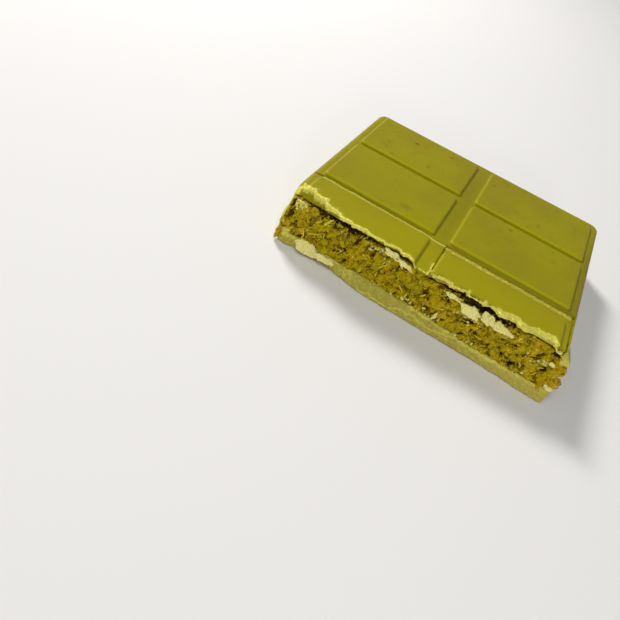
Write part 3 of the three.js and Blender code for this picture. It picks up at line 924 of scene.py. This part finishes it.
# Materials ---------------------------------
class Nodes:
    """Short calls for building one material's node tree."""

    def __init__(self, name):
        self.material = bpy.data.materials.new(name)
        self.material.use_nodes = True
        self.tree = self.material.node_tree
        self.shader = self.tree.nodes["Principled BSDF"]
        self.place = self.tree.nodes.new("ShaderNodeTexCoord").outputs["Object"]

    def link(self, source, target):
        if hasattr(source, "is_linked"):
            self.tree.links.new(source, target)
        else:
            target.default_value = source

    def noise(self, size_mm, detail=2.0, rough=0.5):
        """Noise whose features are about size_mm wide."""
        node = self.tree.nodes.new("ShaderNodeTexNoise")
        node.inputs["Scale"].default_value = 1000 / size_mm
        node.inputs["Detail"].default_value = detail
        node.inputs["Roughness"].default_value = rough
        self.link(self.place, node.inputs["Vector"])
        return node.outputs["Fac"]

    def waxy(self, weight, depth_mm, colour):
        """Light that soaks in and comes out again close by."""
        self.shader.inputs["Subsurface Weight"].default_value = weight
        self.shader.inputs["Subsurface Scale"].default_value = depth_mm / 1000
        self.shader.inputs["Subsurface Radius"].default_value = colour

    def cells(self, size_mm):
        """Distance to scattered points, and a random number for each of them."""
        node = self.tree.nodes.new("ShaderNodeTexVoronoi")
        node.inputs["Scale"].default_value = 1000 / size_mm
        self.link(self.place, node.inputs["Vector"])
        split = self.tree.nodes.new("ShaderNodeSeparateColor")
        self.link(node.outputs["Color"], split.inputs["Color"])
        return node.outputs["Distance"], split.outputs["Red"]

    def ramp(self, value, low, high, out_low=0.0, out_high=1.0):
        node = self.tree.nodes.new("ShaderNodeMapRange")
        node.interpolation_type = "SMOOTHSTEP"
        self.link(value, node.inputs["Value"])
        node.inputs["From Min"].default_value = low
        node.inputs["From Max"].default_value = high
        node.inputs["To Min"].default_value = out_low
        node.inputs["To Max"].default_value = out_high
        return node.outputs["Result"]

    def math(self, kind, a, b=0.0):
        node = self.tree.nodes.new("ShaderNodeMath")
        node.operation = kind
        self.link(a, node.inputs[0])
        self.link(b, node.inputs[1])
        return node.outputs["Value"]

    def mix(self, factor, a, b):
        node = self.tree.nodes.new("ShaderNodeMix")
        node.data_type = "RGBA"
        self.link(factor, node.inputs["Factor"])
        self.link(a, node.inputs["A"])
        self.link(b, node.inputs["B"])
        return node.outputs["Result"]

    def mask(self, name):
        node = self.tree.nodes.new("ShaderNodeAttribute")
        node.attribute_name = name
        return node.outputs["Fac"]

    def spot(self, x, y, across, deep):
        """A soft patch on the top, given in the bar's millimetres; it places dark spots, paler
        patches, painted shade and painted light.
        """
        shift = self.tree.nodes.new("ShaderNodeVectorMath")
        shift.operation = "SUBTRACT"
        self.link(self.place, shift.inputs[0])
        shift.inputs[1].default_value = Vector(to_frame(np.array((x, y, THICKNESS))))
        scale = self.tree.nodes.new("ShaderNodeVectorMath")
        scale.operation = "MULTIPLY"
        self.link(shift.outputs["Vector"], scale.inputs[0])
        scale.inputs[1].default_value = (1000 / across, 1000 / deep, 0)
        size = self.tree.nodes.new("ShaderNodeVectorMath")
        size.operation = "LENGTH"
        self.link(scale.outputs["Vector"], size.inputs[0])
        return self.ramp(size.outputs["Value"], 1.0, 0.2)

    def specks(self, colour, other, strength, size_mm, edge, chance):
        """Scattered round specks of another colour, one in some of the cells."""
        distance, number = self.cells(size_mm)
        found = self.ramp(number, chance, chance + 0.02)
        specks = self.math("MULTIPLY", self.ramp(distance, *edge), found)
        return self.mix(self.math("MULTIPLY", specks, strength), colour, other)

    def finish(self, colour, roughness, specular, tint=(1, 1, 1, 1)):
        """Joins the colour and the gloss to the shader."""
        self.link(colour, self.shader.inputs["Base Color"])
        self.link(roughness, self.shader.inputs["Roughness"])
        self.shader.inputs["Specular IOR Level"].default_value = specular
        self.shader.inputs["Specular Tint"].default_value = tint

    def bump(self, heights, strength, distance_mm):
        node = self.tree.nodes.new("ShaderNodeBump")
        node.inputs["Strength"].default_value = strength
        node.inputs["Distance"].default_value = distance_mm / 1000
        self.link(heights, node.inputs["Height"])
        self.link(node.outputs["Normal"], self.shader.inputs["Normal"])


def chocolate_material():
    n = Nodes("chocolate")
    green = (0.290, 0.258, 0.005, 1)
    olive = (0.265, 0.227, 0.008, 1)
    dark = (0.12, 0.10, 0.004, 1)
    pale = (0.68, 0.63, 0.085, 1)
    cream = (0.86, 0.78, 0.18, 1)
    broken = (0.40, 0.350, 0.048, 1)
    frosty = (0.56, 0.485, 0.10, 1)
    # lit: the colour of the painted light on the top near the break
    lit = (0.34, 0.305, 0.003, 1)
    # edge: the colour of the painted highlight on the pads' top edges
    edge = (0.50, 0.47, 0.010, 1)
    colour = n.mix(n.ramp(n.noise(22, 3), 0.38, 0.62), green, olive)
    colour = n.mix(n.ramp(n.noise(3.0, 4, 0.6), 0.55, 0.75, 0.0, 0.25), colour, dark)
    colour = n.specks(colour, dark, 0.55, 2.6, (0.10, 0.04), 0.72)
    colour = n.specks(colour, pale, 0.5, 3.7, (0.055, 0.02), 0.80)
    marks_and_painted_shade = [
        # x, y, size across, size along, strength
        (-22.5, -9.4, 1.2, 1.1, 0.9), (-15.0, -19.0, 1.0, 1.0, 0.5), (-29.6, -16.4, 0.9, 0.8, 0.6),
        (-29.0, -20.0, 0.8, 0.7, 0.5), (-26.3, -22.0, 0.9, 0.7, 0.5), (-11.1, -7.0, 1.6, 0.8, 0.6),
        (-8.0, -9.5, 0.8, 0.7, 0.4), (-12.5, -43.5, 3.2, 1.6, 0.35), (14.9, -28.5, 0.9, 1.1, 0.6),
        (28.0, -28.0, 0.8, 0.8, 0.4), (21.5, -19.0, 0.9, 1.6, 0.4), (4.8, -10.0, 0.8, 0.8, 0.5),
        (-17.5, -54.0, 0.8, 0.8, 0.5), (33.0, -11.0, 6.0, 9.0, 0.12),
        # the spine and the right border: painted shade, where the pads' shadows fall
        (0.0, -30.0, 3.6, 33.0, 0.25), (38.3, -32.0, 3.0, 36.0, 0.35),
    ]
    for x, y, across, deep, strength in marks_and_painted_shade:
        colour = n.mix(n.math("MULTIPLY", n.spot(x, y, across, deep), strength), colour, dark)
    # Painted light: the top is painted lighter toward the broken end, as if more light fell there.
    painted_light_near_break = n.math("MULTIPLY", n.spot(0, -60, 90, 16), 0.7)
    colour = n.mix(painted_light_near_break, colour, lit)
    # Painted highlight: the pads' top edges are painted a brighter colour.
    colour = n.mix(n.math("MULTIPLY", n.mask("edge"), 0.75), colour, edge)
    snapped = n.mask("snapped")
    grain = n.ramp(n.noise(0.8, 4, 0.7), 0.35, 0.7)
    # The broken face is paler toward the right end.
    grain = n.math("ADD", grain, n.math("MULTIPLY", n.spot(40, -64, 30, 20), 0.5))
    colour = n.mix(snapped, colour, n.mix(grain, broken, frosty))
    rim = n.mask("pale")
    colour = n.mix(rim, colour, n.mix(n.ramp(n.noise(0.6, 3, 0.6), 0.35, 0.65), pale, cream))
    rough = n.ramp(n.noise(1.5, 4, 0.6), 0.3, 0.7, 0.36, 0.5)
    either = n.math("MAXIMUM", snapped, rim)
    rough = n.math("ADD", rough, n.math("MULTIPLY", either, 0.3))
    n.finish(colour, rough, 0.1, (1.0, 0.94, 0.3, 1))
    n.waxy(0.15, 1.0, (1.0, 0.85, 0.2))
    fine = n.math("MULTIPLY", n.noise(0.35, 4, 0.7), n.math("ADD", either, 0.05))
    soft = n.math("MULTIPLY", n.noise(4.0, 3), 0.5)
    n.bump(n.math("ADD", fine, soft), 0.6, 0.12)
    return n.material


def filling_material(name, mask):
    n = Nodes(name)
    golden = (0.49, 0.340, 0.001, 1)
    green = (0.41, 0.325, 0.002, 1)
    orange = (0.52, 0.27, 0.001, 1)
    brown = (0.075, 0.025, 0.0003, 1)
    bright = (0.80, 0.70, 0.08, 1)
    colour = n.mix(n.ramp(n.noise(2.6, 3), 0.38, 0.62), golden, green)
    colour = n.mix(n.ramp(n.noise(3.0, 2), 0.64, 0.76, 0.0, 0.35), colour, orange)
    colour = n.mix(n.ramp(n.noise(1.3, 3, 0.6), 0.52, 0.72, 0.0, 0.65), colour, brown)
    if mask == "tone":
        colour = n.mix(n.ramp(n.mask("tone"), 0.7, 1.0, 0.0, 0.8), colour, bright)
        colour = n.mix(n.ramp(n.mask("tone"), 0.35, 0.0, 0.0, 0.8), colour, brown)
    else:
        colour = n.mix(n.ramp(n.mask("ends"), 0.0, 1.0, 0.0, 0.3), colour, orange)
        # Painted shade: the filling is painted brown where it lies deep in its crevices.
        colour = n.mix(n.ramp(n.mask("depth"), 0.1, 0.75, 0.0, 0.93), colour, brown)
    # Painted glints: bright specks scattered over the wet filling.
    colour = n.specks(colour, bright, 0.8, 1.0, (0.32, 0.2), 0.82)
    rough = n.ramp(n.noise(0.7, 3), 0.3, 0.7, 0.14, 0.36)
    n.finish(colour, rough, 0.55, (1.0, 0.85, 0.14, 1))
    n.waxy(0.12, 0.5, (1.0, 0.6, 0.08))
    n.bump(n.noise(0.6, 3, 0.6), 0.6, 0.2)
    return n.material


def flake_material():
    n = Nodes("pale_chocolate")
    cream = (0.92, 0.84, 0.31, 1)
    green = (0.56, 0.50, 0.10, 1)
    colour = n.mix(n.ramp(n.noise(0.9, 3, 0.6), 0.52, 0.72, 0.0, 0.8), cream, green)
    n.finish(colour, n.ramp(n.noise(0.8, 2), 0.3, 0.7, 0.55, 0.8), 0.25)
    n.bump(n.noise(0.4, 4, 0.7), 0.8, 0.15)
    return n.material


def crumb_material():
    n = Nodes("crumb")
    cream = (0.86, 0.78, 0.20, 1)
    golden = (0.50, 0.36, 0.003, 1)
    orange = (0.62, 0.38, 0.002, 1)
    dull = (0.3, 0.24, 0.02, 1)
    colour = n.mix(n.ramp(n.mask("tone"), 0.1, 0.4), orange, golden)
    colour = n.mix(n.ramp(n.mask("tone"), 0.45, 0.85), colour, cream)
    colour = n.mix(n.ramp(n.noise(0.5, 3), 0.5, 0.8, 0.0, 0.5), colour, dull)
    n.finish(colour, n.ramp(n.noise(0.5, 2), 0.3, 0.7, 0.35, 0.6), 0.4)
    n.bump(n.noise(0.3, 3, 0.6), 0.5, 0.1)
    return n.material


def floor_material():
    n = Nodes("floor_paper")
    colour = n.mix(n.noise(300, 2), (0.82, 0.81, 0.80, 1), (0.85, 0.84, 0.83, 1))
    n.finish(colour, 0.9, 0.5)
    return n.material


# Studio ------------------------------------
def make_camera():
    data = bpy.data.cameras.new("camera")
    data.lens = CAMERA_LENS
    data.sensor_width = 36
    data.clip_start = 0.01
    data.clip_end = 20
    camera = bpy.data.objects.new("camera", data)
    bpy.context.scene.collection.objects.link(camera)
    right = Vector(CAMERA_RIGHT).normalized()
    up = Vector(CAMERA_UP)
    up = (up - right * up.dot(right)).normalized()
    turn = Matrix((right, up, right.cross(up))).transposed().to_4x4()
    place = Vector(to_frame(np.array(CAMERA_PLACE)))
    camera.matrix_world = Matrix.Translation(place) @ turn
    bpy.context.scene.camera = camera


def area_light(name, place, size, power, colour):
    data = bpy.data.lights.new(name, "AREA")
    data.shape = "SQUARE"
    data.size = size
    data.energy = power
    data.color = colour
    light = bpy.data.objects.new(name, data)
    light.location = place
    light.rotation_euler = (-Vector(place)).to_track_quat("-Z", "Y").to_euler()
    bpy.context.scene.collection.objects.link(light)


def make_sky():
    """Soft light from all around: pale at the horizon and dimmer overhead."""
    world = bpy.data.worlds.new("studio")
    bpy.context.scene.world = world
    world.use_nodes = True
    tree = world.node_tree
    place = tree.nodes.new("ShaderNodeTexCoord")
    height = tree.nodes.new("ShaderNodeSeparateXYZ")
    tree.links.new(place.outputs["Generated"], height.inputs["Vector"])
    fade = tree.nodes.new("ShaderNodeMapRange")
    fade.interpolation_type = "SMOOTHSTEP"
    tree.links.new(height.outputs["Z"], fade.inputs["Value"])
    fade.inputs["From Min"].default_value = 0.08
    fade.inputs["From Max"].default_value = 0.40
    fade.inputs["To Min"].default_value = 0.66
    fade.inputs["To Max"].default_value = 0.20
    sky = tree.nodes["Background"]
    sky.inputs["Color"].default_value = (0.97, 0.98, 1.0, 1)
    tree.links.new(fade.outputs["Result"], sky.inputs["Strength"])


def make_studio():
    bpy.ops.mesh.primitive_plane_add(size=6, location=(0, 0, -0.0002))
    floor = bpy.context.object
    floor.name = "floor"
    floor.data.materials.append(floor_material())
    make_sky()
    area_light("key", (-0.50, 0.38, 0.50), 0.18, 5.4, (1.0, 0.98, 0.95))
    area_light("above", (0.0, -0.14, 0.40), 0.20, 0.48, (1.0, 0.99, 0.97))
    area_light("front", (0.20, -0.55, 0.18), 0.09, 0.50, (1.0, 0.98, 0.94))
    bpy.context.scene.view_settings.view_transform = "Standard"


def stand_for(piece, material, node):
    piece.data.materials.append(material)
    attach(piece, "root")
    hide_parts(node)


make_camera()
make_studio()
stand_for(make_shell(), chocolate_material(), "chocolate_shell")
stand_for(make_core(), filling_material("pastry", "depth"), "filling")
stand_for(make_strands(), filling_material("pastry_strands", "tone"), "filling")
stand_for(make_flakes(), flake_material(), "filling")
stand_for(make_crumbs(), crumb_material(), "filling")
